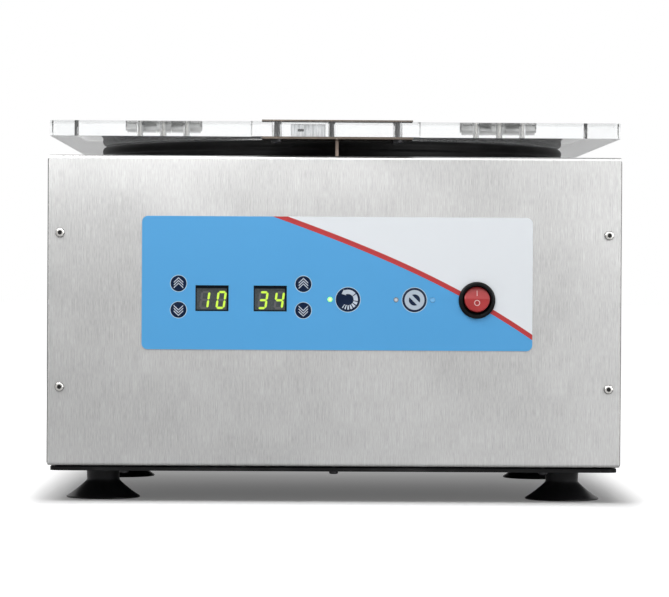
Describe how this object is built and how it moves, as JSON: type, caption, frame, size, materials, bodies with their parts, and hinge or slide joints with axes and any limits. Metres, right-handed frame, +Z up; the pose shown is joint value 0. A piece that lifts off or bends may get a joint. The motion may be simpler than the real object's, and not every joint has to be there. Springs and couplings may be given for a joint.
{
  "type": "benchtop centrifuge",
  "caption": "Benchtop centrifuge with a stainless cabinet, a hinged clear lid over an angle rotor, a keypad with digital displays, a rocker switch and suction feet.",
  "frame": {"origin": "bottom centre of the whole object's box, at the height of the bench that the feet stand on", "axes": "+X to the right seen from the front, +Y from the front to the back, +Z up"},
  "size_m": [0.356, 0.375, 0.2382],
  "materials": {
    "stainless": "vertically brushed stainless sheet",
    "bright_steel": "bright zinc-plated steel",
    "black_paint": "satin black paint",
    "motor_paint": "satin grey paint",
    "black_rubber": "matt black rubber",
    "clear_acrylic": "clear polished acrylic",
    "rotor_alloy": "turned alloy",
    "nut_plastic": "satin black plastic",
    "overlay_blue": "printed polyester skin, light blue and pale grey",
    "key_navy": "navy plastic with pale signs",
    "key_pale": "pale plastic with navy signs",
    "display_grey": "dark filter over the digits",
    "lamp_green": "lit green light pipe",
    "lamp_grey": "unlit light pipe",
    "black_plastic": "black moulded plastic",
    "rocker_red": "glossy red plastic",
    "magnet_white": "pale grey plastic housing",
    "circuit_board": "green circuit board",
    "power_parts": "wound, finned and canned power parts",
    "pin_brass": "plated brass",
    "coil": "taped coil",
    "field_magnet": "ferrite",
    "armature_steel": "stacked laminations"
  },
  "bodies": {
    "cabinet": {"cabinet_wrap": "stainless", "side_panel_left": "stainless", "side_panel_right": "stainless", "panel_screws": "bright_steel", "base_plate": "black_paint", "base_gasket": "black_rubber", "base_screws": "bright_steel", "suction_feet": "black_rubber", "bowl": "stainless", "bowl_nuts": "bright_steel", "bowl_gasket": "black_rubber", "shaft_seal": "black_rubber", "motor_can": "motor_paint", "motor_magnets": "field_magnet", "motor_bearings": "bright_steel", "motor_plate": "bright_steel", "motor_isolators": "black_rubber", "motor_screws": "bright_steel", "motor_brackets": "black_paint", "panel_overlay": "overlay_blue", "display_modules": "display_grey", "lamp_run": "lamp_green", "lamps_unlit": "lamp_grey", "control_board": "circuit_board", "key_switches": "black_plastic", "board_standoffs": "bright_steel", "switch_body": "black_plastic", "power_inlet": "black_plastic", "inlet_pins": "pin_brass", "inlet_screws": "bright_steel", "fuse_holder": "black_plastic", "power_board": "circuit_board", "power_parts": "power_parts", "latch_block": "black_plastic", "latch_solenoid": "coil", "interlock_sensor": "black_plastic", "cabinet_hinge_leaves": "bright_steel", "hinge_pins": "bright_steel", "cabinet_hinge_screws": "bright_steel"},
    "lid": {"lid_panel": "clear_acrylic", "latch_plate": "bright_steel", "striker_bracket": "bright_steel", "latch_plate_screws": "bright_steel", "lid_hinge_leaves": "bright_steel", "lid_hinge_screws": "bright_steel", "interlock_magnet": "magnet_white"},
    "rotor": {"motor_shaft": "bright_steel", "motor_armature": "armature_steel", "rotor_body": "rotor_alloy", "rotor_nut": "nut_plastic", "tube_sleeves": "rotor_alloy", "tube_cushions": "black_rubber"},
    "rocker": {"power_rocker": "rocker_red"},
    "latch_bolt": {"latch_bolt": "bright_steel"},
    "time_up_key": {"time_up_key": "key_navy"},
    "time_down_key": {"time_down_key": "key_navy"},
    "speed_up_key": {"speed_up_key": "key_navy"},
    "speed_down_key": {"speed_down_key": "key_navy"},
    "run_key": {"run_key": "key_navy"},
    "stop_key": {"stop_key": "key_pale"}
  },
  "joints": [
    {"name": "lid_hinge", "type": "hinge", "parent": "cabinet", "child": "lid", "pos_m": [0, 0.1835, 0.2288], "axis": [-1, 0, 0], "range_deg": [0, 95]},
    {"name": "rotor_spin", "type": "hinge", "parent": "cabinet", "child": "rotor", "pos_m": [0, 0.0015, 0.1885], "axis": [0, 0, 1], "continuous": true},
    {"name": "rocker_tilt", "type": "hinge", "parent": "cabinet", "child": "rocker", "pos_m": [0.0881, -0.1735, 0.1262], "axis": [1, 0, 0], "range_deg": [0, 20]},
    {"name": "bolt_slide", "type": "slide", "parent": "cabinet", "child": "latch_bolt", "axis": [-1, 0, 0], "range_m": [0, 0.0086]},
    {"name": "time_up_press", "type": "slide", "parent": "cabinet", "child": "time_up_key", "axis": [0, 1, 0], "range_m": [0, 0.0004], "stiffness_N_per_m": 300},
    {"name": "time_down_press", "type": "slide", "parent": "cabinet", "child": "time_down_key", "axis": [0, 1, 0], "range_m": [0, 0.0004], "stiffness_N_per_m": 300},
    {"name": "speed_up_press", "type": "slide", "parent": "cabinet", "child": "speed_up_key", "axis": [0, 1, 0], "range_m": [0, 0.0004], "stiffness_N_per_m": 300},
    {"name": "speed_down_press", "type": "slide", "parent": "cabinet", "child": "speed_down_key", "axis": [0, 1, 0], "range_m": [0, 0.0004], "stiffness_N_per_m": 300},
    {"name": "run_press", "type": "slide", "parent": "cabinet", "child": "run_key", "axis": [0, 1, 0], "range_m": [0, 0.0004], "stiffness_N_per_m": 300},
    {"name": "stop_press", "type": "slide", "parent": "cabinet", "child": "stop_key", "axis": [0, 1, 0], "range_m": [0, 0.0004], "stiffness_N_per_m": 300}
  ]
}
